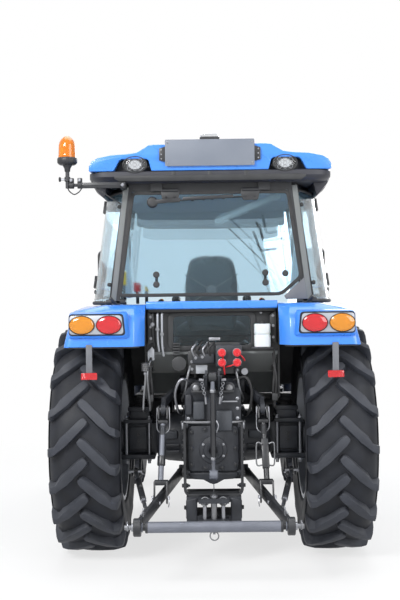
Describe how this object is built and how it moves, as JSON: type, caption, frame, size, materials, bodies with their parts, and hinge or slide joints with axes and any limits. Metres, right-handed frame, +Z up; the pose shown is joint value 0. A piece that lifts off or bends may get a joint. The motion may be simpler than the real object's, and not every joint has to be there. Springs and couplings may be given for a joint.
{
  "type": "farm tractor with cab",
  "caption": "Compact farm tractor with a closed cab, large lugged driven wheels, and a rear three-point hitch with top link, lift rods and a cross tube.",
  "frame": {"origin": "on the ground in the middle of the tractor's length and width", "axes": "+Y forward, +X to the tractor's right, +Z up"},
  "size_m": [1.96, 4.1, 2.6098],
  "materials": {
    "body_blue": "gloss enamel",
    "casting_dark": "satin, oily",
    "frame_black": "satin black",
    "rim_silver": "silver enamel",
    "steel": "worn bright steel",
    "tyre_rubber": "dusty tyre rubber",
    "mount_rubber": "moulded rubber",
    "cab_glass": "lightly tinted safety glass",
    "trim_black": "textured plastic",
    "roof_grey": "moulded plastic",
    "lamp_grey": "moulded plastic",
    "lens_red": "moulded lens",
    "lens_clear": "clear lens over a reflector",
    "beacon_amber": "amber dome",
    "seat_fabric": "woven seat cloth",
    "plate_grey": "flat grey board",
    "white_plastic": "translucent tank plastic"
  },
  "bodies": {
    "chassis": {"transmission": "casting_dark", "axle_housings": "casting_dark", "axle_seats": "casting_dark", "cab_mounts": "mount_rubber", "engine": "casting_dark", "front_frame": "casting_dark", "radiator": "frame_black", "front_axle": "casting_dark", "cab_frame": "frame_black", "cab_floor": "frame_black", "cab_bulkhead": "frame_black", "cab_glass": "cab_glass", "rear_window": "cab_glass", "roof_base": "roof_grey", "roof_shell": "body_blue", "work_lamps": "lens_clear", "plate_board": "plate_grey", "fenders": "body_blue", "lamp_housings": "lamp_grey", "rear_lights": "lens_red", "exhaust": "steel", "fuel_tank": "trim_black", "battery_box": "trim_black", "steps": "frame_black", "seat_base": "frame_black", "seat_cushions": "seat_fabric", "consoles": "trim_black", "steering_wheel": "trim_black", "washer_tank": "white_plastic", "coupler_block": "frame_black", "beacon_arm": "frame_black", "beacon": "beacon_amber", "mirrors": "trim_black", "hitch_frame": "frame_black", "drawbar": "frame_black"},
    "rear_wheel_left": {"rear_tyre_left": "tyre_rubber", "rear_rim_left": "rim_silver"},
    "rear_wheel_right": {"rear_tyre_right": "tyre_rubber", "rear_rim_right": "rim_silver"},
    "front_wheel_left": {"front_tyre_left": "tyre_rubber", "front_rim_left": "rim_silver"},
    "front_wheel_right": {"front_tyre_right": "tyre_rubber", "front_rim_right": "rim_silver"},
    "knuckle_left": {"knuckle_left": "casting_dark"},
    "knuckle_right": {"knuckle_right": "casting_dark"},
    "steering_rod": {"steering_rod": "steel"},
    "bonnet": {"bonnet": "body_blue", "grille": "trim_black", "head_lamps": "lens_clear"},
    "door_left": {"door_left": "frame_black", "door_glass_left": "cab_glass"},
    "door_right": {"door_right": "frame_black", "door_glass_right": "cab_glass"},
    "lower_links": {"lower_links": "casting_dark", "hitch_tube": "steel", "stabilizers": "steel"},
    "lift_arms": {"lift_arms": "casting_dark"},
    "lift_rods": {"lift_rods": "steel"},
    "top_link": {"top_link": "steel"},
    "pto_shaft": {"pto_shaft": "steel"}
  },
  "joints": [
    {"name": "rear_wheel_left_spin", "type": "hinge", "parent": "chassis", "child": "rear_wheel_left", "pos_m": [-0.765, -0.95, 0.715], "axis": [1, 0, 0], "continuous": true},
    {"name": "rear_wheel_right_spin", "type": "hinge", "parent": "chassis", "child": "rear_wheel_right", "pos_m": [0.765, -0.95, 0.715], "axis": [1, 0, 0], "continuous": true},
    {"name": "steer_left", "type": "hinge", "parent": "chassis", "child": "knuckle_left", "pos_m": [-0.6, 1.32, 0.56], "axis": [0, 0, 1], "range_deg": [-40, 40]},
    {"name": "front_wheel_left_spin", "type": "hinge", "parent": "knuckle_left", "child": "front_wheel_left", "pos_m": [-0.755, 1.32, 0.56], "axis": [1, 0, 0], "continuous": true},
    {"name": "steer_right", "type": "hinge", "parent": "chassis", "child": "knuckle_right", "pos_m": [0.6, 1.32, 0.56], "axis": [0, 0, 1], "range_deg": [-40, 40]},
    {"name": "front_wheel_right_spin", "type": "hinge", "parent": "knuckle_right", "child": "front_wheel_right", "pos_m": [0.755, 1.32, 0.56], "axis": [1, 0, 0], "continuous": true},
    {"name": "steering_rod_slide", "type": "slide", "parent": "chassis", "child": "steering_rod", "axis": [1, 0, 0], "range_m": [-0.1, 0.1]},
    {"name": "door_left_swing", "type": "hinge", "parent": "chassis", "child": "door_left", "pos_m": [-0.78028, -0.731, 1.69], "axis": [0.1376, 0, 0.9905], "range_deg": [0, 75]},
    {"name": "door_right_swing", "type": "hinge", "parent": "chassis", "child": "door_right", "pos_m": [0.78028, -0.731, 1.69], "axis": [0.1376, 0, -0.9905], "range_deg": [0, 75]},
    {"name": "bonnet_lift", "type": "hinge", "parent": "chassis", "child": "bonnet", "pos_m": [0, 0.45, 1.48], "axis": [1, 0, 0], "range_deg": [0, 50]},
    {"name": "lower_link_lift", "type": "hinge", "parent": "chassis", "child": "lower_links", "pos_m": [0, -1.13, 0.52], "axis": [-1, 0, 0], "range_deg": [-10, 34]},
    {"name": "lift_arm_swing", "type": "hinge", "parent": "chassis", "child": "lift_arms", "pos_m": [0, -1.1, 1.065], "axis": [-1, 0, 0], "range_deg": [-16, 53]},
    {"name": "lift_rod_swing", "type": "hinge", "parent": "lift_arms", "child": "lift_rods", "pos_m": [0, -1.4, 0.94], "axis": [-1, 0, 0], "range_deg": [-56, 17]},
    {"name": "top_link_swing", "type": "hinge", "parent": "chassis", "child": "top_link", "pos_m": [0, -1.48, 1.14], "axis": [-1, 0, 0], "range_deg": [0, 95]},
    {"name": "pto_spin", "type": "hinge", "parent": "chassis", "child": "pto_shaft", "pos_m": [0, -1.39, 0.69], "axis": [0, -1, 0], "continuous": true}
  ],
  "couplings": [
    {"joint": "steer_right", "follows": "steer_left", "ratio": 1},
    {"joint": "steering_rod_slide", "follows": "steer_left", "m_per_rad": -0.138},
    {"joint": "lift_arm_swing", "follows": "lower_link_lift", "ratio": 1.5283},
    {"joint": "lift_rod_swing", "follows": "lower_link_lift", "ratio": -1.6322}
  ]
}
